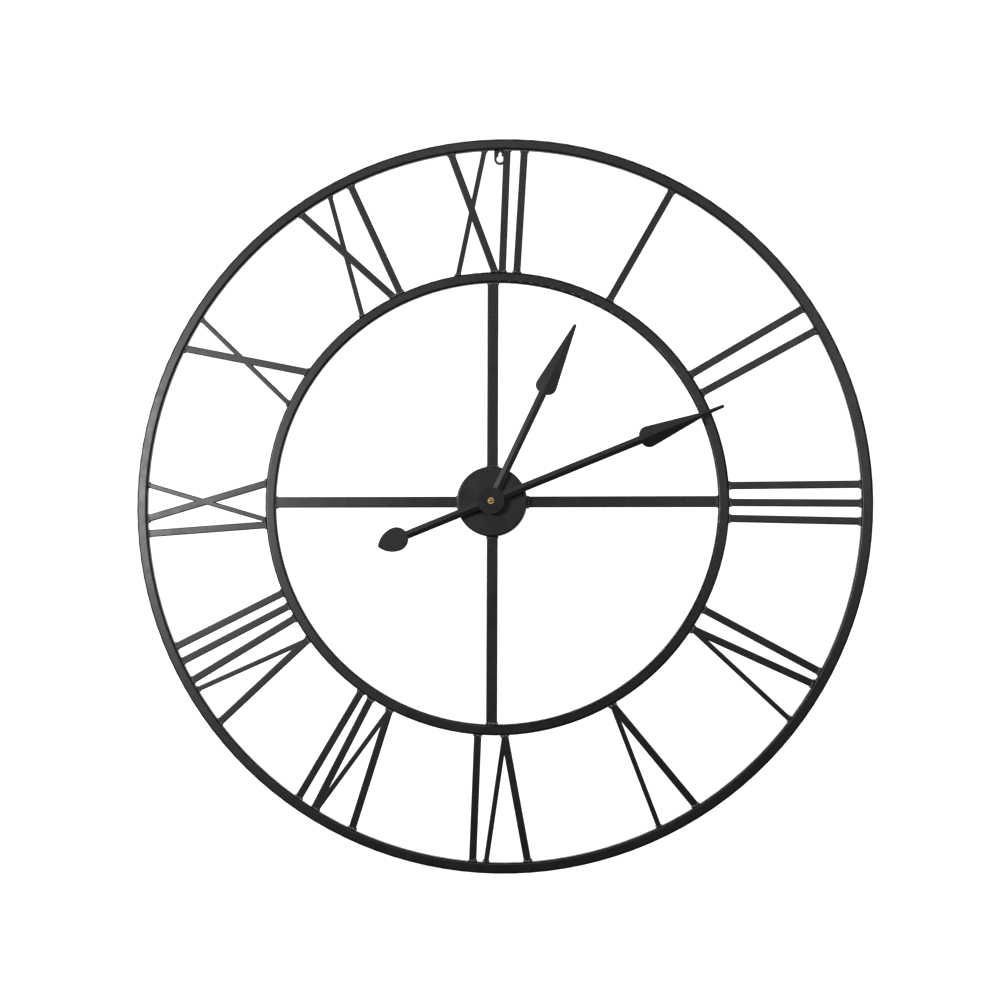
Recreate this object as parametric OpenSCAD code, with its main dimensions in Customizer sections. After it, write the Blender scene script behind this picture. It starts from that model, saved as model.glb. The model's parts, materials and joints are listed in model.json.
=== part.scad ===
// Open-frame wall clock: two steel rings, welded Roman numerals, four spokes and a quartz movement.
// Origin: on the hand axis, in the plane of the wall. +Z is up, the dial faces -Y.

/* [Rings] */
// Outside diameter of the outer ring
outer_ring_d = 800; // [700:5:1000]
// Outside diameter of the inner ring
inner_ring_d = 505; // [420:5:560]
// Width of the ring bar, seen from the front
ring_w = 12; // [10:0.5:18]
// Depth of the ring bar, front to back
ring_t = 8; // [7:0.5:14]
// Rounding of the ring bar's long edges
ring_edge_r = 2.5; // [1.5:0.1:3]

/* [Numerals and spokes] */
// Width of the heavy numeral strokes
heavy_w = 8; // [6:0.5:10]
// Width of the light numeral strokes
light_w = 5.5; // [4:0.5:7]
// Depth of the numeral strokes and spokes
bar_t = 4; // [3:0.5:5]
// Rounding of the long edges of the strokes and spokes
bar_edge_r = 1; // [0.4:0.1:1.3]
// Distance between the outer ends of an X
x_head_w = 38; // [30:1:44]
// Distance between the inner ends of an X
x_foot_w = 40; // [30:1:44]
// Distance between the outer ends of a V
v_head_w = 45; // [36:1:50]
// Width of the four spokes
spoke_w = 12; // [8:0.5:16]

/* [Hub and hanger] */
// Gap between the corners of the movement and the hub cup
hub_gap = 0.3; // [0.2:0.1:2]
// Sheet thickness of the hub cup
hub_sheet = 1; // [0.8:0.1:1.4]
// Gap between the back rim of the hub cup and the wall
hub_rim_gap = 1; // [0.5:0.5:2]
// Bend radius at the front edge of the hub cup
hub_edge_r = 2; // [1.5:0.5:4]
// Width of the keyhole hanger plate
hanger_w = 13; // [12:0.5:20]
// Sheet thickness of the hanger plate
hanger_sheet = 1.2; // [1:0.1:1.5]
// Round hole of the keyhole, which the screw head passes
keyhole_d = 7.6; // [6:0.1:9]
// Slot of the keyhole, which grips the screw shank
keyhole_slot_w = 3.2; // [2.5:0.1:4]
// Depth of the keyhole's centre below the inside of the outer ring
keyhole_drop = 9; // [8:0.5:14]
// Sideways place of the hanger plate
hanger_x = 7; // [0:0.5:7]

/* [Hands] */
// Length of the minute hand from the axis
minute_len = 265; // [220:1:300]
// Length of the hour hand from the axis
hour_len = 210; // [150:1:240]
// Distance from the axis to the tip of the minute hand's tail
tail_len = 132; // [90:1:160]
// Length of the spade head of the minute hand
minute_head_len = 94; // [60:1:120]
// Length of the spade head of the hour hand
hour_head_len = 82; // [50:1:100]
// Width of both spade heads
head_w = 23; // [16:0.5:30]
// Width of the hand shafts
shaft_w = 9; // [6:0.5:12]
// Width of the rounded tips
tip_w = 3.6; // [2:0.2:5]
// Length of the slim finger ahead of the minute head
finger_len = 24; // [5:1:40]
// Width of the leaf on the tail
leaf_w = 26; // [18:1:34]
// Length of the leaf on the tail
leaf_len = 35; // [28:1:45]
// Sheet thickness of the hands
hand_sheet = 0.8; // [0.5:0.1:1]
// Fall of each side of the pressed ridge for each millimetre away from it
ridge_slope = 0.2; // [0.1:0.02:0.24]
// Diameter of the minute hand's boss
minute_boss_d = 29; // [20:1:36]
// Diameter of the hour hand's boss
hour_boss_d = 25; // [18:1:30]
// Angle of the minute hand at rest, clockwise from twelve
minute_rest = 67.9; // [0:0.1:360]
// Angle of the hour hand at rest, clockwise from twelve
hour_rest = 25.4; // [0:0.1:360]

/* [Movement] */
// Corner radius of the movement case
case_r = 7; // [6:0.5:8]
// Wall of the movement case
case_wall = 1.2; // [1:0.1:1.4]
// Gap between the movement and the wall
case_gap = 0.3; // [0.2:0.1:1]
// Outside diameter of the threaded bush
bush_d = 8; // [7.6:0.1:9]
// Nut across its flats
nut_af = 11; // [11:0.5:14]
// Thickness of the nut
nut_t = 2; // [1.5:0.5:3]
// Thickness of the rubber washer behind the hub cup
rubber_t = 0.5; // [0.3:0.1:1]
// Thickness of the brass washer under the nut
washer_t = 0.5; // [0.3:0.1:1]
// Diameter of the hour tube
hour_tube_d = 5.1; // [5:0.05:5.4]
// Diameter of the minute arbor
minute_arbor_d = 3.5; // [3:0.05:3.6]
// Diameter of the train's arbors
arbor_d = 0.9; // [0.6:0.1:1]
// Radial running clearance of arbors and tubes
run_gap = 0.05; // [0.02:0.01:0.08]
// Diameter of the battery
battery_d = 14.5; // [13.5:0.1:15]
// Length of the battery with its cap
battery_len = 50; // [49:0.5:50.5]
// Diameter of the setting knob
knob_d = 9; // [7:0.5:10]

/* [Gears] */
// Distance from the hand axis to the minute wheel
motion_a = 8.8; // [8.6:0.1:9]
// Distance from the hand axis to the third wheel
third_a = 9.2; // [9:0.1:9.4]
// Distance from the hand axis to the intermediate wheel
inter_a = 9.5; // [9.4:0.1:9.8]
// Distance from the intermediate wheel to the rotor
rotor_a = 7.2; // [7:0.1:7.4]
// Thickness of the wheels
wheel_t = 0.8; // [0.5:0.1:1]
// Teeth of the cannon pinion and of the setting pinion
cannon_teeth = 12; // [12:1:13]
// Teeth of the minute wheel
minute_teeth = 36; // [34:1:38]
// Leaves of the minute wheel's pinion
minute_leaves = 10; // [9:1:11]
// Teeth of the hour wheel
hour_teeth = 40; // [38:1:42]
// Leaves of the pinions in the going train
leaves = 8; // [8:1:9]
// Teeth of the centre wheel
centre_teeth = 64; // [60:1:66]
// Teeth of the third wheel
third_teeth = 60; // [58:1:64]
// Teeth of the seconds wheel
seconds_teeth = 48; // [46:1:50]
// Teeth of the intermediate wheel
inter_teeth = 40; // [38:1:42]

/* [Hidden] */
$fn = 64;

steel_black = [0.16, 0.16, 0.17];
brass_yellow = [0.80, 0.62, 0.30];
plastic_black = [0.10, 0.10, 0.11];
plastic_white = [0.90, 0.90, 0.86];
steel_bright = [0.72, 0.73, 0.75];

// Rings and bars
outer_r = outer_ring_d / 2;
outer_in_r = outer_r - ring_w;
inner_r = inner_ring_d / 2;
inner_in_r = inner_r - ring_w;
bar_back = -(ring_t - bar_t) / 2;
slot_land = 1.4;

// Movement case: the battery sets its width, height and depth, and the cup and the hands follow
contact_room = 1.8;
train_reach = 9.6;
rib_t = 0.8;
rib_inset = 0.6;
battery_gap = 0.15;
corner_room = 1.75;
case_half_h = train_reach + rib_t + battery_gap + battery_d + corner_room + case_wall;
case_half_w = battery_len / 2 + contact_room + case_wall;
case_half = max(case_half_h, case_half_w);
case_back_y = -case_gap;
case_t = case_wall + battery_d + 2 * battery_gap;
case_front_y = case_back_y - case_t;
inner_half = case_half - case_wall;
inner_corner = case_r - case_wall;
case_reach = (case_half - case_r) * sqrt(2) + case_r;
cover_y = case_back_y - case_wall;
floor_y = case_front_y + case_wall;

// Hub cup and the stack on the threaded bush
hub_r = case_reach + hub_gap + hub_sheet;
cup_back_y = case_front_y - rubber_t;
cup_front_y = cup_back_y - hub_sheet;
washer_y = cup_front_y - washer_t;
nut_y = washer_y - nut_t;
bush_proud = 0.8;
bush_front_y = nut_y - bush_proud;
bush_r = bush_d / 2;
rubber_w = 6;
washer_over = 1.5;
collar_r = 3.4;
flange_r = collar_r + 1.5;
flange_gap = 0.2;

// Hands, named by the plane of their ridge
hour_tube_r = hour_tube_d / 2;
minute_arbor_r = minute_arbor_d / 2;
collet_t = 1.8;
bush_clear = 0.4;
tube_proud = 0.4;
hour_y = bush_front_y - bush_clear - collet_t - hand_sheet;
hour_tube_front_y = hour_y - tube_proud;
hands_gap = 0.5;
boss_rise = 0.8;
head_fall = ridge_slope * head_w / 2;
minute_y = hour_y - head_fall - hand_sheet - hands_gap;
arbor_proud = 0.8;
arbor_front_y = minute_y - boss_rise - arbor_proud;
cap_r = 2;
cap_peg = 2;

// Battery
battery_r = battery_d / 2;
corner_x = max(0, battery_len / 2 - (inner_half - inner_corner));
battery_low = -(inner_half - inner_corner) - sqrt(pow(inner_corner, 2) - pow(corner_x, 2)) + battery_gap;
battery_z = battery_low + battery_r;
battery_y = floor_y + battery_gap + battery_r;
rib_z = battery_z + battery_r + battery_gap;
rib_half = battery_len / 2 - rib_inset;

// Layers of the train: the gap in front of each wheel, and the plane of each wheel's back
hour_gap = 0.5;
minute_gap = 1.2;
centre_gap = 1;
third_gap = 1.4;
seconds_gap = 1;
inter_gap = 1.1;
hour_wheel_y = floor_y + hour_gap + wheel_t;
minute_wheel_y = hour_wheel_y + minute_gap + wheel_t;
centre_wheel_y = minute_wheel_y + centre_gap + wheel_t;
third_wheel_y = centre_wheel_y + third_gap + wheel_t;
seconds_wheel_y = third_wheel_y + seconds_gap + wheel_t;
inter_wheel_y = seconds_wheel_y + inter_gap + wheel_t;
pinion_lip = 0.4;

// Places of the arbors, in the plane of the dial
minute_wheel_dir = 195;
third_dir = 55;
inter_dir = 140;
rotor_dir = 120;
minute_at = polar(motion_a, minute_wheel_dir);
motion_m = 2 * motion_a / (cannon_teeth + minute_teeth);
hour_m = 2 * motion_a / (minute_leaves + hour_teeth);
setting_a = motion_m * (cannon_teeth + minute_teeth) / 2;
setting_at = minute_at + polar(setting_a, minute_wheel_dir);
third_at = polar(third_a, third_dir);
third_m = 2 * third_a / (leaves + third_teeth);
centre_m = 2 * third_a / (leaves + centre_teeth);
inter_at = polar(inter_a, inter_dir);
seconds_m = 2 * inter_a / (leaves + seconds_teeth);
rotor_at = inter_at + polar(rotor_a, rotor_dir);
inter_m = 2 * rotor_a / (leaves + inter_teeth);

// Turn of each gear at rest, so that every pair is in mesh
cannon_turn = 0;
minute_turn = mesh_turn(cannon_teeth, cannon_turn, minute_teeth, minute_wheel_dir);
setting_turn = mesh_turn(minute_teeth, minute_turn, cannon_teeth, minute_wheel_dir);
hour_turn = mesh_turn(minute_leaves, minute_turn, hour_teeth, minute_wheel_dir + 180);
third_turn = mesh_turn(leaves, 0, third_teeth, third_dir);
centre_turn = mesh_turn(leaves, third_turn, centre_teeth, third_dir + 180);
inter_turn = mesh_turn(seconds_teeth, 0, leaves, inter_dir);
rotor_turn = mesh_turn(inter_teeth, inter_turn, leaves, rotor_dir);

// Stator, coil and board
magnet_r = 3;
stator_hole_r = 3.4;
stator_ring_r = 5.2;
stator_t = 0.8;
stator_y = centre_wheel_y + stator_t;
magnet_over = 0.6;
limb_w = 3;
limb_gap = 1;
coil_r = 3.8;
coil_room = 1.7;
coil_z = inner_half - coil_r - coil_room;
coil_left = -5;
coil_right = 17;
coil_flange = 1;
core_r = 2.2;
board_gap = 0.3;
board_t = 0.8;
board_y = minute_wheel_y - 0.6;
board_left = 14.5;
board_bottom = rib_z + rib_t + board_gap;
board_top = 14;

// Battery contacts
contact_t = 0.3;
contact_w = 8;
strip_w = 1.4;

// Setting knob
knob_t = 1.6;
knob_shaft_r = 1.1;
knurl_r = 0.6;

// Numerals: each glyph is its kind, the place of its outer end and the place of its inner end,
// both measured sideways from the hour's own radius, with clockwise as positive
NUMERALS = [
    [["I", -1, 0]],
    [["I", -13, -12], ["I", 14, 11]],
    [["I", -18, -17], ["I", 2, 1], ["I", 21, 18]],
    [["I", -17, -13], ["V", 20, 11]],
    [["V", -4, -3]],
    [["V", -17, -14], ["I", 20, 15]],
    [["V", -25, -17], ["I", 0, 7], ["I", 21, 20]],
    [["V", -39, -30], ["I", -5, -2], ["I", 19, 13], ["I", 37, 29]],
    [["I", -35, -25], ["X", 1, 1]],
    [["X", -4, 2]],
    [["X", -6, -2], ["I", 39, 27]],
    [["X", -29, -18], ["I", 15, 10], ["I", 34, 26]]
];

function polar(r, a) = [r * cos(a), r * sin(a)];
// Turn that puts a second gear in mesh with a first one that lies in the opposite direction dir + 180
function mesh_turn(n1, turn1, n2, dir) = dir + 180 + 180 / n2 - (turn1 - dir) * n1 / n2;

// A flat shape of the dial plane, from its back face towards the viewer
module plate(back_y, t) {
    translate([0, back_y, 0])
        rotate([90, 0, 0])
            linear_extrude(height = t)
                children();
}

// A disc or tube on an arbor, from one depth to another
module disc(at, r, front_y, back_y, hole_r = 0) {
    plate(back_y, back_y - front_y)
        translate(at)
            difference() {
                circle(r);
                if (hole_r > 0) circle(hole_r);
            }
}

module rounded_rect(w, h, r) {
    square([w - 2 * r, h], center = true);
    square([w, h - 2 * r], center = true);
    for (x = [-1, 1], y = [-1, 1])
        translate([x * (w / 2 - r), y * (h / 2 - r)])
            circle(r);
}

// Trapezoidal teeth with backlash, shallow enough to roll without touching at the tips
module gear(n, m, turn, hole_r = 0) {
    pitch = 360 / n;
    root_r = m * (n / 2 - 1.15);
    tip_r = m * (n / 2 + 0.7);
    difference() {
        polygon([
            for (i = [0 : n - 1], k = [[-0.27, root_r], [-0.1, tip_r], [0.1, tip_r], [0.27, root_r]])
                polar(k[1], turn + (i + k[0]) * pitch)
        ]);
        if (hole_r > 0) circle(hole_r);
    }
}

module gear_at(at, back_y, t, n, m, turn, hole_r = 0) {
    plate(back_y, t)
        translate(at)
            gear(n, m, turn, hole_r);
}

// Ring of rounded bar whose back lies on the wall
module ring(r) {
    rotate([90, 0, 0])
        rotate_extrude($fn = 180)
            translate([r - ring_w / 2, ring_t / 2])
                rounded_rect(ring_w, ring_t, ring_edge_r);
}

// Steel bar with rounded long edges, between two points of the dial plane
module bar(from, to, w) {
    run = to - from;
    len = norm(run);
    translate([from[0], bar_back - bar_t / 2, from[1]])
        rotate([0, atan2(run[0], run[1]), 0])
            linear_extrude(height = len)
                rounded_rect(w, bar_t, bar_edge_r);
}

// What lies between two circles of the dial, through the whole depth of the bars
module between(r_in, r_out) {
    plate(0, ring_t)
        difference() {
            circle(r_out, $fn = 180);
            circle(r_in, $fn = 180);
        }
}

// A stroke is drawn past both rings and cut to them
module stroke(head_x, foot_x, w) {
    slant = (head_x - foot_x) / (outer_in_r - inner_r);
    over = ring_w / 2;
    intersection() {
        bar([foot_x - slant * over, inner_r - over], [head_x + slant * over, outer_in_r + over], w);
        between(inner_r, outer_in_r);
    }
}

module glyph(kind, head_x, foot_x) {
    if (kind == "I")
        stroke(head_x, foot_x, heavy_w);
    if (kind == "V") {
        stroke(head_x - v_head_w / 2, foot_x, heavy_w);
        stroke(head_x + v_head_w / 2, foot_x, light_w);
    }
    if (kind == "X") {
        stroke(head_x - x_head_w / 2, foot_x + x_foot_w / 2, heavy_w);
        stroke(head_x + x_head_w / 2, foot_x - x_foot_w / 2, light_w);
    }
}

module outer_ring() {
    color(steel_black) ring(outer_r);
}

module inner_ring() {
    color(steel_black) ring(inner_r);
}

module numeral(hour) {
    color(steel_black)
        rotate([0, hour * 30, 0])
            for (g = NUMERALS[hour - 1])
                glyph(g[0], g[1], g[2]);
}

module spoke(turn) {
    color(steel_black)
        intersection() {
            rotate([0, turn, 0])
                bar([0, hub_r / 2], [0, inner_in_r + ring_w / 2], spoke_w);
            between(hub_r, inner_in_r);
        }
}

// Pressed cup, open at the back, which holds the movement
module hub_cup() {
    depth = -hub_rim_gap - cup_front_y;
    color(steel_black)
        difference() {
            translate([0, -hub_rim_gap, 0])
                rotate([90, 0, 0])
                    rotate_extrude($fn = 120) {
                        translate([hub_r - hub_sheet, 0])
                            square([hub_sheet, depth - hub_edge_r]);
                        translate([0, depth - hub_sheet])
                            square([hub_r - hub_edge_r, hub_sheet]);
                        translate([hub_r - hub_edge_r, depth - hub_edge_r])
                            intersection() {
                                difference() {
                                    circle(hub_edge_r);
                                    circle(hub_edge_r - hub_sheet);
                                }
                                square(hub_edge_r);
                            }
                    }
            disc([0, 0], bush_r, cup_front_y - 1, cup_back_y + 1);
        }
}

module hanger_plate() {
    hole_z = outer_in_r - keyhole_drop;
    slot_z = outer_in_r - slot_land - keyhole_slot_w / 2;
    color(steel_black)
        difference() {
            plate(0, hanger_sheet)
                translate([hanger_x, hole_z])
                    difference() {
                        union() {
                            circle(hanger_w / 2);
                            translate([-hanger_w / 2, 0])
                                square([hanger_w, keyhole_drop + ring_edge_r]);
                        }
                        circle(keyhole_d / 2);
                        translate([-keyhole_slot_w / 2, 0])
                            square([keyhole_slot_w, slot_z - hole_z]);
                        translate([0, slot_z - hole_z])
                            circle(keyhole_slot_w / 2);
                    }
            ring(outer_r);
        }
}

// Spade head: round shoulders, straight sides from them to the neck, then a slim finger with a round tip
module spade(base, tip, w, neck, neck_w) {
    r = w * 0.4;
    shoulder = base + r;
    reach = norm([neck - shoulder, neck_w / 2 - (w / 2 - r)]);
    tangent = atan2(neck_w / 2 - (w / 2 - r), neck - shoulder) + asin(r / reach);
    touch = [w / 2 - r + r * cos(tangent), shoulder + r * sin(tangent)];
    tip_r = tip_w / 2;
    for (side = [-1, 1])
        translate([side * (w / 2 - r), shoulder])
            circle(r);
    translate([-(w / 2 - r), base])
        square([w - 2 * r, r]);
    polygon([
        [-touch[0], touch[1]], [-neck_w / 2, neck], [-tip_r, tip - tip_r],
        [tip_r, tip - tip_r], [neck_w / 2, neck], [touch[0], touch[1]], [0, base]
    ]);
    translate([0, tip - tip_r])
        circle(tip_r);
}

// Leaf of the tail: a round end towards the axis and a pointed end away from it
module leaf() {
    r = leaf_w / 2;
    point = leaf_len - r;
    side_r = (pow(point, 2) + pow(r, 2)) / (2 * r);
    translate([0, -tail_len + point]) {
        circle(r);
        intersection() {
            translate([r - side_r, 0]) circle(side_r);
            translate([side_r - r, 0]) circle(side_r);
            translate([-r, -leaf_len]) square([leaf_w, leaf_len]);
        }
    }
}

// Folded sheet with its ridge in front, along the whole length of a hand
module ridge(front_y, low, high) {
    side = head_w / 2 + 1;
    fall = ridge_slope * side;
    translate([0, 0, low])
        linear_extrude(height = high - low)
            polygon([
                [0, front_y], [side, front_y + fall], [side, front_y + fall + hand_sheet],
                [0, front_y + hand_sheet], [-side, front_y + fall + hand_sheet], [-side, front_y + fall]
            ]);
}

// What a hand keeps of its folded sheet
module ridged(front_y, low, high) {
    intersection() {
        ridge(front_y, low, high);
        plate(front_y + head_fall + hand_sheet + 1, head_fall + hand_sheet + 2)
            children();
    }
}

module minute_hand() {
    base = minute_len - minute_head_len;
    neck = minute_len - finger_len;
    color(steel_black)
        rotate([0, minute_rest, 0])
            difference() {
                union() {
                    ridged(minute_y, -tail_len, minute_len) {
                        translate([-shaft_w / 2, -tail_len + leaf_len - 2])
                            square([shaft_w, tail_len - leaf_len + base + 4]);
                        spade(base, minute_len, head_w, neck, tip_w * 1.4);
                    }
                    plate(minute_y + hand_sheet, hand_sheet)
                        leaf();
                    disc([0, 0], minute_boss_d / 2, minute_y - boss_rise, minute_y + hand_sheet);
                }
                disc([0, 0], collar_r, minute_y - boss_rise - 1, minute_y + head_fall + 2);
                disc([0, 0], flange_r + flange_gap, minute_y + hand_sheet, minute_y + head_fall + 2);
            }
}

module hour_hand() {
    base = hour_len - hour_head_len;
    color(steel_black)
        rotate([0, hour_rest, 0])
            difference() {
                union() {
                    ridged(hour_y, 0, hour_len) {
                        translate([-shaft_w / 2, 0])
                            square([shaft_w, base + 4]);
                        spade(base, hour_len, head_w, hour_len - tip_w, tip_w * 1.1);
                    }
                    disc([0, 0], hour_boss_d / 2, hour_y, hour_y + hand_sheet);
                }
                disc([0, 0], collar_r, hour_y - 1, hour_y + head_fall + 2);
                disc([0, 0], flange_r + flange_gap, hour_y + hand_sheet, hour_y + head_fall + 2);
            }
}

// Brass collet: a spigot in the hand's hole and a flange behind it
module collet(front_y, sheet_y, back_y, bore_r) {
    color(brass_yellow)
        difference() {
            union() {
                disc([0, 0], collar_r, front_y, sheet_y);
                disc([0, 0], flange_r, sheet_y, back_y);
            }
            disc([0, 0], bore_r, front_y - 1, back_y + 1);
        }
}

module minute_collet() {
    collet(minute_y - boss_rise, minute_y + hand_sheet, minute_y + hand_sheet + collet_t, minute_arbor_r);
}

module hour_collet() {
    collet(hour_y, hour_y + hand_sheet, hour_y + hand_sheet + collet_t, hour_tube_r);
}

// Arbor of the minute hand, with the cannon pinion, and a socket behind for the seconds arbor
module minute_arbor() {
    color(brass_yellow)
        difference() {
            union() {
                disc([0, 0], minute_arbor_r, arbor_front_y, centre_wheel_y + pinion_lip);
                gear_at([0, 0], minute_wheel_y + pinion_lip, wheel_t + 2 * pinion_lip,
                    cannon_teeth, motion_m, cannon_turn);
            }
            disc([0, 0], arbor_d / 2 + run_gap, centre_wheel_y - 2, centre_wheel_y + 1);
            disc([0, 0], cap_r / 2, arbor_front_y - 1, arbor_front_y + cap_peg);
        }
}

// Domed brass plug in the end of the minute arbor
module arbor_cap() {
    color(brass_yellow)
        rotate([90, 0, 0])
            rotate_extrude() {
                translate([0, -arbor_front_y - cap_peg])
                    square([cap_r / 2, cap_peg]);
                translate([0, -arbor_front_y])
                    intersection() {
                        circle(cap_r);
                        square(cap_r);
                    }
            }
}

module hour_wheel() {
    color(plastic_white)
        difference() {
            union() {
                gear_at([0, 0], hour_wheel_y, wheel_t, hour_teeth, hour_m, hour_turn);
                disc([0, 0], hour_tube_r, hour_tube_front_y, hour_wheel_y);
            }
            disc([0, 0], minute_arbor_r + run_gap, hour_tube_front_y - 1, hour_wheel_y + 1);
        }
}

// Minute wheel with its pinion, on a stud of the case
module minute_wheel() {
    stud_hole = arbor_d / 2 + run_gap;
    color(plastic_white) {
        gear_at(minute_at, minute_wheel_y, wheel_t, minute_teeth, motion_m, minute_turn, stud_hole);
        gear_at(minute_at, minute_wheel_y - wheel_t, minute_wheel_y - wheel_t - floor_y - 0.3,
            minute_leaves, hour_m, minute_turn, stud_hole);
    }
}

// Setting knob on the back of the movement, with a pinion on the minute wheel
module setting_knob() {
    knob_y = case_back_y - 0.1;
    color(plastic_white)
        union() {
            gear_at(setting_at, minute_wheel_y + pinion_lip, wheel_t + 2 * pinion_lip,
                cannon_teeth, motion_m, setting_turn);
            disc(setting_at, knob_shaft_r, minute_wheel_y, knob_y - 1);
            disc(setting_at, arbor_d / 2, floor_y - case_wall / 2, minute_wheel_y);
            plate(knob_y, knob_t)
                translate(setting_at)
                    difference() {
                        circle(knob_d / 2);
                        for (a = [0 : 30 : 359])
                            rotate(a)
                                translate([knob_d / 2 + knurl_r / 3, 0])
                                    circle(knurl_r, $fn = 24);
                    }
        }
}

// Arbor between the front wall and the back cover, with its pivots in both
module train_arbor(at, front_y = floor_y - case_wall / 2) {
    disc(at, arbor_d / 2, front_y, cover_y + case_wall / 2);
}

module centre_wheel() {
    color(plastic_white)
        gear_at([0, 0], centre_wheel_y, wheel_t, centre_teeth, centre_m, centre_turn,
            minute_arbor_r + run_gap);
}

module third_wheel() {
    color(plastic_white) {
        train_arbor(third_at);
        gear_at(third_at, third_wheel_y, wheel_t, third_teeth, third_m, third_turn);
        gear_at(third_at, centre_wheel_y + pinion_lip, wheel_t + 2 * pinion_lip,
            leaves, centre_m, third_turn);
    }
}

module seconds_wheel() {
    color(plastic_white) {
        train_arbor([0, 0], centre_wheel_y - 1.8);
        gear_at([0, 0], seconds_wheel_y, wheel_t, seconds_teeth, seconds_m, 0);
        gear_at([0, 0], third_wheel_y + pinion_lip, wheel_t + 2 * pinion_lip, leaves, third_m, 0);
    }
}

module intermediate_wheel() {
    color(plastic_white) {
        train_arbor(inter_at);
        gear_at(inter_at, inter_wheel_y, wheel_t, inter_teeth, inter_m, inter_turn);
        gear_at(inter_at, seconds_wheel_y + pinion_lip, wheel_t + 2 * pinion_lip,
            leaves, seconds_m, inter_turn);
    }
}

module rotor_pinion() {
    color(plastic_white) {
        train_arbor(rotor_at);
        gear_at(rotor_at, inter_wheel_y + pinion_lip, wheel_t + 2 * pinion_lip,
            leaves, inter_m, rotor_turn);
    }
}

module rotor_magnet() {
    color(steel_bright)
        disc(rotor_at, magnet_r, stator_y - stator_t - magnet_over, stator_y + magnet_over, arbor_d / 2);
}

// Soft-iron stator: a ring round the rotor, and two limbs to a core through the coil
module stator() {
    core_left = rotor_at[0] - limb_w / 2;
    far_limb = coil_right + limb_gap;
    color(steel_bright)
        plate(stator_y, stator_t)
            difference() {
                union() {
                    translate(rotor_at) circle(stator_ring_r);
                    translate([core_left, rotor_at[1]])
                        square([limb_w, coil_z + limb_w / 2 - rotor_at[1]]);
                    translate([core_left, coil_z - limb_w / 2])
                        square([far_limb + limb_w - core_left, limb_w]);
                    translate([rotor_at[0], rotor_at[1]])
                        square([far_limb + limb_w - rotor_at[0], limb_w]);
                    translate([far_limb, rotor_at[1]])
                        square([limb_w, coil_z - rotor_at[1]]);
                }
                translate(rotor_at) circle(stator_hole_r);
            }
}

// A round piece along the coil's axis
module coil_disc(r, left, right) {
    translate([left, stator_y - stator_t / 2, coil_z])
        rotate([0, 90, 0])
            cylinder(r = r, h = right - left);
}

module coil_bobbin() {
    color(plastic_white)
        difference() {
            union() {
                coil_disc(coil_r, coil_left, coil_left + coil_flange);
                coil_disc(coil_r, coil_right - coil_flange, coil_right);
                coil_disc(core_r, coil_left, coil_right);
            }
            translate([coil_left - 1, stator_y - stator_t, coil_z - limb_w / 2])
                cube([coil_right - coil_left + 2, stator_t, limb_w]);
        }
}

module coil_winding() {
    color([0.72, 0.36, 0.16])
        difference() {
            coil_disc(coil_r - 0.3, coil_left + coil_flange, coil_right - coil_flange);
            coil_disc(core_r, coil_left, coil_right);
        }
}

module circuit_board() {
    color([0.08, 0.32, 0.18])
        plate(board_y, board_t)
            translate([board_left, board_bottom])
                square([inner_half - 0.3 - board_left, board_top - board_bottom]);
}

module crystal() {
    color(steel_bright)
        translate([board_left + 3, board_y + 1, board_top - 8])
            cylinder(r = 1, h = 6);
}

module chip() {
    color(plastic_black)
        translate([board_left + 7.5, board_y - board_t, 0])
            rotate([90, 0, 0])
                cylinder(r1 = 2.6, r2 = 1.8, h = 0.9);
}

// Spring plate at one end of the battery, with a strip to the board
module contact_plus() {
    low = battery_z - contact_w / 2;
    color(steel_bright) {
        translate([battery_len / 2, board_y, low])
            cube([contact_t, battery_y + contact_w / 2 - board_y, board_bottom - low]);
        translate([battery_len / 2 - 1.5, board_y, board_bottom - board_gap])
            cube([1.5 + contact_t, 1, 2]);
    }
}

module contact_minus() {
    left = -battery_len / 2 - contact_t;
    low = battery_z - contact_w / 2;
    strip_z = rib_z + rib_t + run_gap;
    color(steel_bright) {
        translate([left, battery_y - contact_w / 2, low])
            cube([contact_t, contact_w, strip_z + contact_t - low]);
        translate([left, battery_y - contact_w / 2, strip_z])
            cube([board_left + 1 - left, strip_w, contact_t]);
    }
}

module battery() {
    body_len = battery_len - 1.2;
    color([0.25, 0.27, 0.30])
        translate([-battery_len / 2, battery_y, battery_z])
            rotate([0, 90, 0])
                union() {
                    cylinder(r = battery_r, h = body_len);
                    cylinder(r = 2.7, h = battery_len);
                }
}

module case_outline(half, r) {
    rounded_rect(2 * half, 2 * half, r);
}

// Front shell of the movement, with the rib of the battery bay and the bearings
module case_front() {
    color(plastic_black)
        difference() {
            union() {
                difference() {
                    plate(cover_y, cover_y - case_front_y)
                        case_outline(case_half, case_r);
                    plate(cover_y + 1, cover_y + 1 - floor_y)
                        case_outline(inner_half, inner_corner);
                }
                plate(cover_y, cover_y - floor_y)
                    translate([-rib_half, rib_z])
                        square([2 * rib_half, rib_t]);
                disc(minute_at, arbor_d / 2, floor_y, minute_wheel_y + 0.6);
            }
            disc([0, 0], bush_r, case_front_y - 1, floor_y + 1);
            for (at = [third_at, inter_at, rotor_at, setting_at])
                disc(at, arbor_d / 2 + run_gap, floor_y - case_wall / 2 - 0.1, floor_y + 0.1);
        }
}

// Snap-on back cover with windows for the battery and the setting knob
module case_back() {
    color(plastic_black)
        difference() {
            plate(case_back_y, case_wall)
                difference() {
                    case_outline(case_half, case_r);
                    intersection() {
                        translate([-inner_half, -inner_half])
                            square([2 * inner_half, rib_z + inner_half]);
                        case_outline(inner_half, inner_corner);
                    }
                }
            disc(setting_at, knob_d / 2 + 0.4, cover_y - 1, case_back_y + 1);
            for (at = [[0, 0], third_at, inter_at, rotor_at])
                disc(at, arbor_d / 2 + run_gap, cover_y - 0.1, cover_y + case_wall / 2 + 0.1);
        }
}

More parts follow.
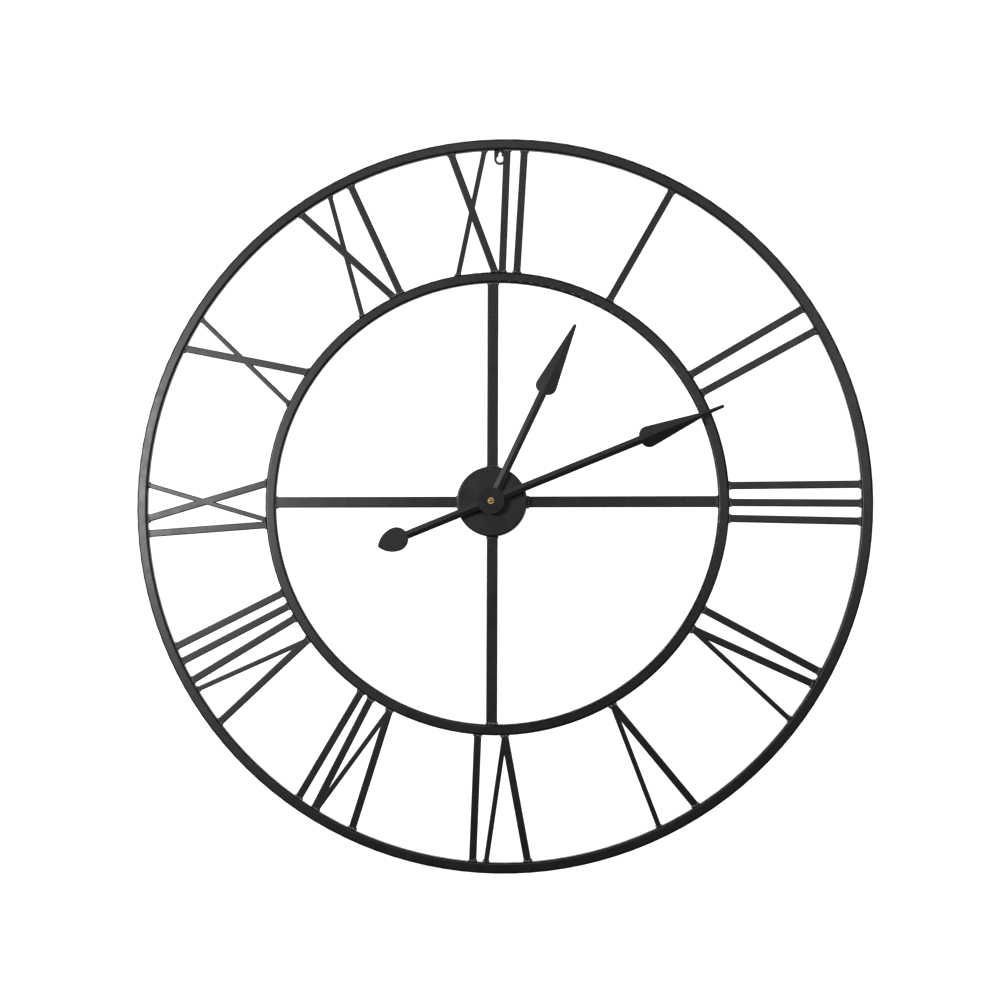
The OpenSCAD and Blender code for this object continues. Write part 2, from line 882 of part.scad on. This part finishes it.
module threaded_bush() {
    color(brass_yellow)
        disc([0, 0], bush_r, bush_front_y, floor_y, hour_tube_r + run_gap);
}

module rubber_washer() {
    color(plastic_black)
        disc([0, 0], bush_r + rubber_w, cup_back_y, case_front_y, bush_r);
}

module brass_washer() {
    color(brass_yellow)
        disc([0, 0], nut_af / 2 + washer_over, washer_y, cup_front_y, bush_r);
}

module hex_nut() {
    color(brass_yellow)
        plate(washer_y, nut_t)
            difference() {
                circle(nut_af / sqrt(3), $fn = 6);
                circle(bush_r);
            }
}

outer_ring();
inner_ring();
spoke(0);  // spoke_top
spoke(90);  // spoke_right
spoke(180);  // spoke_bottom
spoke(270);  // spoke_left
for (hour = [1 : 12])
    numeral(hour);
hub_cup();
hanger_plate();
case_front();
case_back();
threaded_bush();
rubber_washer();
brass_washer();
hex_nut();
minute_hand();
minute_collet();
minute_arbor();
arbor_cap();
hour_hand();
hour_collet();
hour_wheel();
minute_wheel();
setting_knob();
centre_wheel();
third_wheel();
seconds_wheel();
intermediate_wheel();
rotor_pinion();
rotor_magnet();
stator();
coil_bobbin();
coil_winding();
circuit_board();
crystal();
chip();
contact_plus();
contact_minus();
battery();
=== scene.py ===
"""Looks of the open-frame wall clock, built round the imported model. Metres, +Z up, the dial faces -Y."""
import json
import math
import random

import bmesh
import bpy
from mathutils import Matrix, Vector, noise


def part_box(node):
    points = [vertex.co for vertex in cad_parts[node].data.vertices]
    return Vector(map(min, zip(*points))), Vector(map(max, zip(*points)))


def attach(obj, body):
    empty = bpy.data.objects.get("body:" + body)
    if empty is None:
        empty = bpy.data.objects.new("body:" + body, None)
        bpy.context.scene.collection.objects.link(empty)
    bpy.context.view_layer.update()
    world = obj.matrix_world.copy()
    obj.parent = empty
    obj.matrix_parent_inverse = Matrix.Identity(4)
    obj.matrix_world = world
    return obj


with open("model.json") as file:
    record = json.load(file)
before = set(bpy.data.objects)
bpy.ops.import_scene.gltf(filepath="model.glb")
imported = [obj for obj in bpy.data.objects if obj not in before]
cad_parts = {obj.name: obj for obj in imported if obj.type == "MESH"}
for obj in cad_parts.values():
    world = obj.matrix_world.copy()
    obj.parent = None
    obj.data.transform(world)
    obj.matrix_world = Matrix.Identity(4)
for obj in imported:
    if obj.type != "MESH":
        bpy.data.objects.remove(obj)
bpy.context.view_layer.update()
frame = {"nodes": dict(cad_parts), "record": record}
MM = 0.001

# ---------------------------------------------------------------- places taken from the frame
RING_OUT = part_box("outer_ring")[1].x
INNER_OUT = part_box("inner_ring")[1].x
BAR_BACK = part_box("spoke_top")[1].y
BAR_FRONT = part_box("spoke_top")[0].y
HUB_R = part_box("hub_cup")[1].x
RING_W = INNER_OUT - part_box("spoke_top")[1].z
RING_IN = RING_OUT - RING_W
CASE_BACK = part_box("case_back")[1].y
NUMERALS = [f"numeral_{hour}" for hour in range(1, 13)]
SPOKES = ["spoke_top", "spoke_right", "spoke_bottom", "spoke_left"]


# ---------------------------------------------------------------- materials
class Surface:
    """A Principled material whose patterns are laid in the object's own coordinates, in metres."""

    def __init__(self, name, **constants):
        self.material = bpy.data.materials.new(name)
        self.material.use_nodes = True
        self.tree = self.material.node_tree
        self.shader = self.tree.nodes["Principled BSDF"]
        self.place = self.add("ShaderNodeTexCoord").outputs["Object"]
        self.normal = None
        for socket, value in constants.items():
            self.shader.inputs[socket.replace("_", " ")].default_value = value

    def add(self, kind, **settings):
        node = self.tree.nodes.new(kind)
        for name, value in settings.items():
            setattr(node, name, value)
        return node

    def link(self, a, b):
        self.tree.links.new(a, b)

    def noise(self, scale, detail=3.0, rough=0.55, stretch=None):
        """Cloudy pattern, scale in cells for each metre."""
        node = self.add("ShaderNodeTexNoise")
        node.inputs["Scale"].default_value = scale
        node.inputs["Detail"].default_value = detail
        node.inputs["Roughness"].default_value = rough
        self.link(self.stretched(stretch) if stretch else self.place, node.inputs["Vector"])
        return node.outputs["Fac"]

    def stretched(self, stretch):
        node = self.add("ShaderNodeMapping")
        node.inputs["Scale"].default_value = stretch
        self.link(self.place, node.inputs["Vector"])
        return node.outputs["Vector"]

    def cells(self, scale):
        node = self.add("ShaderNodeTexVoronoi")
        node.inputs["Scale"].default_value = scale
        self.link(self.place, node.inputs["Vector"])
        return node.outputs["Distance"]

    def waves(self, scale, axis, distortion=0.0, kind="BANDS"):
        node = self.add("ShaderNodeTexWave", wave_type=kind)
        if kind == "BANDS":
            node.bands_direction = axis
        else:
            node.rings_direction = axis
        node.inputs["Scale"].default_value = scale
        node.inputs["Distortion"].default_value = distortion
        node.inputs["Detail Scale"].default_value = 2.0
        self.link(self.place, node.inputs["Vector"])
        return node.outputs["Fac"]

    def spread(self, value, low, high, to_low, to_high):
        node = self.add("ShaderNodeMapRange")
        for name, number in zip(("From Min", "From Max", "To Min", "To Max"), (low, high, to_low, to_high)):
            node.inputs[name].default_value = number
        self.link(value, node.inputs["Value"])
        return node.outputs["Result"]

    def blend(self, share, first, second):
        """Colour first where share is 0 and second where it is 1; each is a colour or an output."""
        node = self.add("ShaderNodeMix", data_type="RGBA")
        self.link(share, node.inputs["Factor"])
        for socket, colour in ((node.inputs["A"], first), (node.inputs["B"], second)):
            if hasattr(colour, "links"):
                self.link(colour, socket)
            else:
                socket.default_value = (*colour, 1.0)
        return next(o for o in node.outputs if o.type == "RGBA")

    def edges(self, radius, low, high):
        """Share of rubbing along edges: where the rounded normal leaves the true one."""
        bevel = self.add("ShaderNodeBevel", samples=4)
        bevel.inputs["Radius"].default_value = radius
        dot = self.add("ShaderNodeVectorMath", operation="DOT_PRODUCT")
        self.link(bevel.outputs["Normal"], dot.inputs[0])
        self.link(self.add("ShaderNodeNewGeometry").outputs["Normal"], dot.inputs[1])
        return self.spread(dot.outputs["Value"], 1.0 - low, 1.0 - high, 0.0, 1.0)

    def times(self, a, b):
        node = self.add("ShaderNodeMath", operation="MULTIPLY")
        self.link(a, node.inputs[0])
        self.link(b, node.inputs[1])
        return node.outputs["Value"]

    def bump(self, height, strength, depth):
        node = self.add("ShaderNodeBump")
        node.inputs["Strength"].default_value = strength
        node.inputs["Distance"].default_value = depth
        self.link(height, node.inputs["Height"])
        if self.normal:
            self.link(self.normal, node.inputs["Normal"])
        self.normal = node.outputs["Normal"]

    def done(self, colour, roughness):
        self.link(colour, self.shader.inputs["Base Color"])
        self.link(roughness, self.shader.inputs["Roughness"])
        if self.normal:
            self.link(self.normal, self.shader.inputs["Normal"])
        return self.material


def powder_coat(name, dark, light, rough, gloss, worn=(0.11, 0.11, 0.115)):
    """Satin powder coat: orange peel, faint clouds of tone, and edges rubbed a little brighter."""
    s = Surface(name, Specular_IOR_Level=gloss)
    clouds = s.spread(s.noise(38.0, 4.0), 0.35, 0.65, 0.0, 1.0)
    colour = s.blend(clouds, dark, light)
    rub = s.times(s.edges(1.2 * MM, 0.02, 0.22), s.spread(s.noise(420.0, 3.0), 0.5, 0.72, 0.0, 1.0))
    colour = s.blend(rub, colour, worn)
    s.bump(s.noise(1500.0, 2.0), 0.14, 0.12 * MM)
    s.bump(s.noise(260.0, 2.0), 0.1, 0.25 * MM)
    roughness = s.spread(s.noise(90.0, 5.0), 0.3, 0.7, *rough)
    return s.done(colour, roughness)


def weld_coat_painted_glints():
    """The same coat, thin and lumpy over the weld beads; its tone runs up into light flecks, painted glints
    that stand in for the beads' highlights.
    """
    s = Surface("weld_coat_painted_glints", Specular_IOR_Level=0.6)
    tone = s.spread(s.noise(700.0, 4.0), 0.4, 0.62, 0.0, 1.0)
    # Speckled tone from near-black to mid grey: partly the thin coat's own random tone, partly painted
    # highlight, its light flecks standing in for glints on the beads.
    colour = s.blend(tone, (0.03, 0.03, 0.032), (0.2, 0.2, 0.21))
    s.bump(s.cells(900.0), 0.5, 0.3 * MM)
    return s.done(colour, s.spread(s.noise(500.0), 0.3, 0.7, 0.2, 0.42))


def turned_brass():
    s = Surface("turned_brass", Metallic=1.0)
    clouds = s.spread(s.noise(300.0, 4.0), 0.35, 0.7, 0.0, 1.0)
    colour = s.blend(clouds, (0.86, 0.62, 0.25), (0.62, 0.4, 0.14))
    s.bump(s.waves(2600.0, "Y", 1.0, "RINGS"), 0.06, 0.03 * MM)
    return s.done(colour, s.spread(s.noise(800.0), 0.3, 0.7, 0.24, 0.4))


def moulded_plastic(name, dark, light, rough=(0.42, 0.6), grain=2600.0, **constants):
    """Spark-eroded mould texture with faint flow clouds and rubbed edges."""
    s = Surface(name, **constants)
    flow = s.spread(s.noise(60.0, 3.0, stretch=(1.0, 1.0, 0.35)), 0.35, 0.65, 0.0, 1.0)
    rub = s.times(s.edges(0.5 * MM, 0.05, 0.35), s.spread(s.noise(900.0), 0.45, 0.7, 0.0, 0.7))
    colour = s.blend(rub, s.blend(flow, dark, light), [min(1.0, c * 1.8 + 0.02) for c in light])
    s.bump(s.noise(grain, 2.0), 0.3, 0.08 * MM)
    return s.done(colour, s.spread(s.noise(150.0, 4.0), 0.3, 0.7, *rough))


def brushed_steel(name, tone, rough=(0.24, 0.42), stretch=(1.0, 1.0, 22.0)):
    s = Surface(name, Metallic=1.0)
    streaks = s.noise(160.0, 6.0, 0.7, stretch)
    share = s.spread(streaks, 0.3, 0.7, 0.0, 1.0)
    colour = s.blend(share, [c * 0.8 for c in tone], tone)
    s.bump(streaks, 0.15, 0.03 * MM)
    return s.done(colour, s.spread(s.noise(220.0, 4.0), 0.3, 0.7, *rough))


def rubber():
    s = Surface("washer_rubber", Specular_IOR_Level=0.3)
    clouds = s.spread(s.noise(500.0, 5.0), 0.35, 0.7, 0.0, 1.0)
    colour = s.blend(clouds, (0.018, 0.018, 0.019), (0.05, 0.05, 0.05))
    s.bump(s.noise(3000.0, 3.0), 0.35, 0.1 * MM)
    return s.done(colour, s.spread(s.noise(400.0), 0.3, 0.7, 0.7, 0.92))


def copper_wire():
    """Enamelled wire laid turn by turn along the coil, banded with painted shade between the turns and
    painted highlight along each turn.
    """
    s = Surface("copper_wire", Metallic=0.9, Coat_Weight=0.6)
    turns = s.waves(1600.0, "X")
    # Dark and bright copper bands, one pair to each turn: painted shade in the grooves between turns,
    # painted highlight on each turn's crown.
    colour = s.blend(turns, (0.25, 0.07, 0.02), (0.72, 0.3, 0.11))
    colour = s.blend(s.spread(s.noise(700.0), 0.55, 0.75, 0.0, 0.6), colour, (0.42, 0.13, 0.04))
    s.bump(turns, 0.8, 0.1 * MM)
    return s.done(colour, s.spread(s.noise(500.0), 0.3, 0.7, 0.22, 0.4))


def circuit_resin():
    """Green solder resist over copper tracks."""
    s = Surface("circuit_resin", Coat_Weight=0.5)
    tracks = s.spread(s.waves(150.0, "X", 6.0), 0.5, 0.56, 0.0, 1.0)
    colour = s.blend(tracks, (0.012, 0.11, 0.045), (0.03, 0.22, 0.08))
    colour = s.blend(s.spread(s.cells(420.0), 0.1, 0.16, 1.0, 0.0), colour, (0.62, 0.6, 0.5))
    s.bump(tracks, 0.4, 0.05 * MM)
    return s.done(colour, s.spread(s.noise(300.0), 0.3, 0.7, 0.25, 0.42))


def battery_sleeve():
    """Printed sleeve of a plain cell: dark body and a copper-coloured band at the positive end."""
    low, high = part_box("battery")
    s = Surface("battery_sleeve", Metallic=0.6, Coat_Weight=0.7, Coat_Roughness=0.12)
    split = s.add("ShaderNodeSeparateXYZ")
    s.link(s.place, split.inputs["Vector"])
    band_start = low.x + 0.7 * (high.x - low.x)
    blur = 0.2 * MM
    band = s.spread(split.outputs["X"], band_start, band_start + blur, 0.0, 1.0)
    clouds = s.spread(s.noise(120.0, 4.0), 0.35, 0.65, 0.0, 1.0)
    body = s.blend(clouds, (0.02, 0.022, 0.028), (0.04, 0.043, 0.05))
    colour = s.blend(band, body, (0.62, 0.33, 0.12))
    scuffs = s.spread(s.noise(500.0, 6.0, 0.7, (0.3, 1.0, 1.0)), 0.66, 0.74, 0.0, 0.35)
    colour = s.blend(scuffs, colour, (0.45, 0.45, 0.46))
    s.bump(s.noise(900.0), 0.08, 0.05 * MM)
    return s.done(colour, s.spread(s.noise(260.0, 4.0), 0.3, 0.7, 0.22, 0.4))


MATERIALS = {
    "frame_coat": powder_coat(
        "frame_coat", (0.0075, 0.0075, 0.008), (0.0125, 0.0125, 0.013), (0.31, 0.39), gloss=0.5
    ),
    "hand_paint": powder_coat(
        "hand_paint", (0.005, 0.0053, 0.0055), (0.0085, 0.0088, 0.009), (0.32, 0.4), gloss=0.4
    ),
    "case_plastic": moulded_plastic("case_plastic", (0.013, 0.013, 0.014), (0.02, 0.02, 0.022)),
    "chip_plastic": moulded_plastic(
        "chip_resin", (0.008, 0.008, 0.009), (0.016, 0.016, 0.017), rough=(0.2, 0.34)
    ),
    "white_plastic": moulded_plastic(
        "white_acetal", (0.68, 0.68, 0.63), (0.78, 0.78, 0.74), rough=(0.28, 0.42), grain=1800.0,
        Subsurface_Weight=0.15, Subsurface_Scale=0.002
    ),
    "washer_rubber": rubber(),
    "brass": turned_brass(),
    "magnet": brushed_steel("sintered_magnet", (0.26, 0.26, 0.27), (0.4, 0.6), (1.0, 1.0, 1.0)),
    "bright_steel": brushed_steel("bright_steel", (0.66, 0.67, 0.69)),
    "copper_wire": copper_wire(),
    "board_resin": circuit_resin(),
    "battery_sleeve": battery_sleeve(),
}
WELD_COAT_GLINTS = weld_coat_painted_glints()

for part in frame["record"]["subparts"]:
    mesh = frame["nodes"][part["node"]].data
    mesh.materials.clear()
    mesh.materials.append(MATERIALS[part["material_slot"]])


# ---------------------------------------------------------------- pieces
TOUCH = 0.6 * MM
BAR_GAP = 4.2 * MM
BEAD = 1.5 * MM


def piece(name, bm, material, body):
    """Turns a bmesh into a smooth piece that rides on a body."""
    mesh = bpy.data.meshes.new(name)
    bmesh.ops.recalc_face_normals(bm, faces=bm.faces)
    bm.to_mesh(mesh)
    bm.free()
    mesh.materials.append(material)
    obj = bpy.data.objects.new(name, mesh)
    bpy.context.scene.collection.objects.link(obj)
    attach(obj, body)
    return obj


def lump(bm, at, along, radius, depth, rng):
    """One drop of weld: an uneven flattened ball whose long side lies along a direction of the dial."""
    turn = Matrix.Rotation(math.atan2(along.x, along.z), 4, "Y")
    size = Matrix.Diagonal((radius, depth, radius * rng.uniform(1.0, 1.35), 1.0))
    made = bmesh.ops.create_icosphere(bm, subdivisions=2, radius=1.0)
    offset = Vector((rng.uniform(0, 50), rng.uniform(0, 50), rng.uniform(0, 50)))
    for v in made["verts"]:
        v.co *= 1.0 + 0.2 * noise.noise(v.co * 1.6 + offset)
        v.co = Matrix.Translation(at) @ turn @ size @ v.co
    for f in {f for v in made["verts"] for f in v.link_faces}:
        f.smooth = True


def stroke_ends(node, radius):
    """Where a bar meets a circle of the dial: the middle and the width of each run of touching vertices."""
    turns = sorted(
        math.atan2(v.co.x, v.co.z)
        for v in frame["nodes"][node].data.vertices
        if abs(math.hypot(v.co.x, v.co.z) - radius) < TOUCH
    )
    if turns and turns[-1] - turns[0] > math.pi:
        turns = sorted(t % (2 * math.pi) for t in turns)
    runs = []
    for t in turns:
        if runs and (t - runs[-1][1]) * radius < BAR_GAP:
            runs[-1][1] = t
        else:
            runs.append([t, t])
    return [((a + b) / 2, (b - a) * radius) for a, b in runs]


def weld_row(bm, turn, width, radius, inward, rng):
    """A fillet of small beads across a bar's end, front and back, where it meets a round wall."""
    out = Vector((math.sin(turn), 0.0, math.cos(turn)))
    along = Vector((math.cos(turn), 0.0, -math.sin(turn)))
    count = max(2, round(width / (1.5 * BEAD)))
    for face in (BAR_FRONT, BAR_BACK):
        towards = 1.0 if face == BAR_FRONT else -1.0
        for k in range(count):
            side = (k / (count - 1) - 0.5) * (width - BEAD)
            at = out * (radius + inward * BEAD * rng.uniform(0.3, 0.8)) + along * side
            at.y = face + towards * BEAD * rng.uniform(0.15, 0.45)
            lump(bm, at, along, BEAD * rng.uniform(0.8, 1.15), BEAD * rng.uniform(0.75, 1.0), rng)


def welds(name, nodes, radius, inward, seed):
    rng = random.Random(seed)
    bm = bmesh.new()
    for node in nodes:
        for turn, width in stroke_ends(node, radius):
            weld_row(bm, turn, width, radius, inward, rng)
    return piece(name, bm, WELD_COAT_GLINTS, "frame")


welds("welds_outer_ring", NUMERALS, RING_IN, -1.0, 11)
welds("welds_inner_ring", NUMERALS, INNER_OUT, 1.0, 12)
welds("welds_spoke_ends", SPOKES, INNER_OUT - RING_W, -1.0, 13)
welds("welds_hub", SPOKES, HUB_R, 1.0, 14)


def hanger_weld():
    """Beads along the front of the hanger plate's top edge."""
    low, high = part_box("hanger_plate")
    rng = random.Random(15)
    bm = bmesh.new()
    beads = 7
    bead = 1.0 * MM
    for k in range(beads):
        x = low.x + (high.x - low.x) * (k + 0.5) / beads
        z = math.sqrt(RING_IN ** 2 - x ** 2) - 0.3 * bead
        at = Vector((x, low.y + 0.1 * MM, z))
        lump(bm, at, Vector((1.0, 0.0, 0.0)), bead * rng.uniform(0.8, 1.1), bead * 0.7, rng)
    return piece("weld_hanger", bm, WELD_COAT_GLINTS, "frame")


hanger_weld()


# ---------------------------------------------------------------- moulded marks on the movement
def slab(bm, outline, back, height):
    """A raised flat shape on a face that looks towards +Y; the outline is points of x and z."""
    foot = [bm.verts.new((x, back, z)) for x, z in outline]
    base = bm.faces.new(foot)
    made = bmesh.ops.extrude_face_region(bm, geom=[base])
    for v in (e for e in made["geom"] if isinstance(e, bmesh.types.BMVert)):
        v.co.y += height


def mark_strip(bm, x0, z0, x1, z1, back, height):
    slab(bm, [(x0, z0), (x1, z0), (x1, z1), (x0, z1)], back, height)


SUNK = 0.02 * MM
MARK_H = 0.2 * MM
MARK_HALF = 0.4 * MM
SIGN_ARM = 2.0 * MM
SIGN_INSET = 4.0 * MM
SIGN_LIFT = 3.4 * MM
ARROW_GAP = 1.8 * MM
ARROW_HEAD = 1.3 * MM
ARROW_STEPS = 24


def case_marks():
    """Raised plus and minus by the battery's ends, and the arrow round the setting knob."""
    bm = bmesh.new()
    bay_low, bay_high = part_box("battery")
    knob_low, knob_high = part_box("setting_knob")
    back = CASE_BACK - SUNK
    z = bay_high.z + SIGN_LIFT
    for x in (bay_low.x + SIGN_INSET, bay_high.x - SIGN_INSET):
        mark_strip(bm, x - SIGN_ARM, z - MARK_HALF, x + SIGN_ARM, z + MARK_HALF, back, MARK_H)
    x = bay_high.x - SIGN_INSET
    mark_strip(bm, x - MARK_HALF, z + MARK_HALF, x + MARK_HALF, z + SIGN_ARM, back, MARK_H)
    mark_strip(bm, x - MARK_HALF, z - SIGN_ARM, x + MARK_HALF, z - MARK_HALF, back, MARK_H)
    centre = Vector(((knob_low.x + knob_high.x) / 2, (knob_low.z + knob_high.z) / 2))
    ring = (knob_high.x - knob_low.x) / 2 + ARROW_GAP

    def at(radius, turn):
        return (centre.x + radius * math.cos(turn), centre.y + radius * math.sin(turn))

    start, end = math.radians(35), math.radians(150)
    arc = [start + (end - start) * k / ARROW_STEPS for k in range(ARROW_STEPS + 1)]
    outer = [at(ring + MARK_HALF, a) for a in arc]
    inner = [at(ring - MARK_HALF, a) for a in arc]
    slab(bm, outer + inner[::-1], back, MARK_H)
    tip = start - math.radians(14)
    slab(bm, [at(ring, tip), at(ring + ARROW_HEAD, start), at(ring - ARROW_HEAD, start)], back, MARK_H)
    return piece("case_marks", bm, MATERIALS["case_plastic"], "frame")


case_marks()


def ring_of(bm, profile, centre, steps=48):
    """Turns a closed profile of (radius, x) points about an axis along X through centre."""
    loops = []
    for k in range(steps):
        a = 2 * math.pi * k / steps
        loops.append([
            bm.verts.new((x, centre.y + r * math.cos(a), centre.z + r * math.sin(a))) for r, x in profile
        ])
    for k in range(steps):
        here, there = loops[k], loops[(k + 1) % steps]
        for i in range(len(profile)):
            j = (i + 1) % len(profile)
            face = bm.faces.new((here[i], here[j], there[j], there[i]))
            face.smooth = True


def battery_crimps():
    """Bright crimped rims at both ends of the battery."""
    low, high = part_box("battery")
    centre = (low + high) / 2
    radius = (high.z - low.z) / 2
    step = 1.2 * MM
    width = 1.1 * MM
    rim_in, rim_out = radius - 1.6 * MM, radius + 0.02 * MM
    bm = bmesh.new()
    for x, way in ((low.x, 1.0), (high.x - step, -1.0)):
        edge = x + 0.05 * MM * way
        ring_of(bm, [
            (rim_in, edge), (radius - 0.35 * MM, edge - 0.04 * MM * way),
            (rim_out, edge + 0.4 * MM * way), (rim_out, edge + width * way),
            (rim_in, edge + width * way),
        ], centre)
    return piece("battery_crimps", bm, MATERIALS["bright_steel"], "battery")


battery_crimps()


# ---------------------------------------------------------------- stage, light and camera
def plain(name, colour, rough, emission=0.0):
    s = Surface(name, Specular_IOR_Level=0.2)
    s.shader.inputs["Base Color"].default_value = (*colour, 1.0)
    s.shader.inputs["Roughness"].default_value = rough
    s.shader.inputs["Emission Color"].default_value = (1.0, 1.0, 1.0, 1.0)
    s.shader.inputs["Emission Strength"].default_value = emission
    return s.material


def sheet_of(name, rows, material):
    """A stage surface from rows of points."""
    mesh = bpy.data.meshes.new(name)
    wide = len(rows[0])
    faces = [
        (r * wide + c, r * wide + c + 1, (r + 1) * wide + c + 1, (r + 1) * wide + c)
        for r in range(len(rows) - 1) for c in range(wide - 1)
    ]
    mesh.from_pydata([p for row in rows for p in row], [], faces)
    mesh.materials.append(material)
    obj = bpy.data.objects.new(name, mesh)
    bpy.context.scene.collection.objects.link(obj)
    return obj


FLOOR_Z = -1.3
FLOOR_HALF = 7.0
BACKDROP_Y = 2.4
BACKDROP_TOP = 3.2
BACKDROP_HALF = 3.4
# The floor is pale in every view but sends no light up at the clock.
floor_rows = [[(-FLOOR_HALF, y, FLOOR_Z), (FLOOR_HALF, y, FLOOR_Z)] for y in (-FLOOR_HALF, BACKDROP_Y + 1)]
floor = sheet_of("floor", floor_rows, plain("pale_floor", (0.7, 0.7, 0.7), 0.9, 0.62))
floor.visible_diffuse = False
floor.visible_glossy = False
backdrop_rows = [
    [(-BACKDROP_HALF, BACKDROP_Y, z), (BACKDROP_HALF, BACKDROP_Y, z)] for z in (FLOOR_Z, BACKDROP_TOP)
]
sheet_of("backdrop", backdrop_rows, plain("white_backdrop", (0.8, 0.8, 0.8), 0.9, 1.05))

world = bpy.data.worlds.new("studio")
bpy.context.scene.world = world
world.use_nodes = True
# The world is pale where the camera sees it, and gives the clock only a little light.
SEEN, LIT = 0.82, 0.07
background = world.node_tree.nodes["Background"]
background.inputs["Color"].default_value = (0.97, 0.985, 1.0, 1.0)
level = world.node_tree.nodes.new("ShaderNodeMapRange")
level.inputs["To Min"].default_value = LIT
level.inputs["To Max"].default_value = SEEN
path = world.node_tree.nodes.new("ShaderNodeLightPath")
world.node_tree.links.new(path.outputs["Is Camera Ray"], level.inputs["Value"])
world.node_tree.links.new(level.outputs["Result"], background.inputs["Strength"])


def soft_light(name, at, towards, width, height, power, colour=(1.0, 1.0, 1.0)):
    data = bpy.data.lights.new(name, "AREA")
    data.shape = "RECTANGLE"
    data.size = width
    data.size_y = height
    data.energy = power
    data.color = colour
    obj = bpy.data.objects.new(name, data)
    obj.location = at
    obj.rotation_mode = "QUATERNION"
    obj.rotation_quaternion = (Vector(towards) - Vector(at)).to_track_quat("-Z", "Y")
    obj.visible_camera = False
    bpy.context.scene.collection.objects.link(obj)


soft_light("left_box", (-1.2, -1.9, 0.22), (0.0, 0.0, 0.0), 0.5, 0.38, 22.0, (1.0, 0.985, 0.99))
soft_light("front_box", (1.0, -3.4, 0.65), (0.0, 0.0, 0.0), 1.2, 1.0, 11.0)
soft_light("top_box", (-0.35, -2.6, 1.5), (0.0, 0.0, 0.0), 0.8, 0.45, 5.0)
soft_light("right_box", (3.2, -2.2, 0.2), (0.2, 0.0, 0.0), 0.7, 1.2, 8.0, (0.84, 0.91, 1.0))
soft_light("back_box", (-0.7, 2.1, 0.9), (0.0, 0.0, 0.0), 2.2, 2.0, 60.0)

FOCAL = 1.42017
RIGHT = Vector((0.990549793, 0.1370052, 0.00637829))
DOWN = Vector((-0.00023251, 0.04818208, -0.99883854))
FORWARD = Vector((-0.13715339, 0.98939783, 0.0477586))
camera_data = bpy.data.cameras.new("camera")
camera_data.sensor_width = 36.0
camera_data.lens = camera_data.sensor_width * FOCAL
camera_data.shift_x = 0.1
camera_data.shift_y = 0.02
camera = bpy.data.objects.new("camera", camera_data)
camera.location = (0.112424, -1.546588, -0.094017)
camera.rotation_mode = "QUATERNION"
camera.rotation_quaternion = Matrix((RIGHT, -DOWN, -FORWARD)).transposed().to_quaternion()
bpy.context.scene.collection.objects.link(camera)
bpy.context.scene.camera = camera
bpy.context.scene.view_settings.view_transform = "Standard"
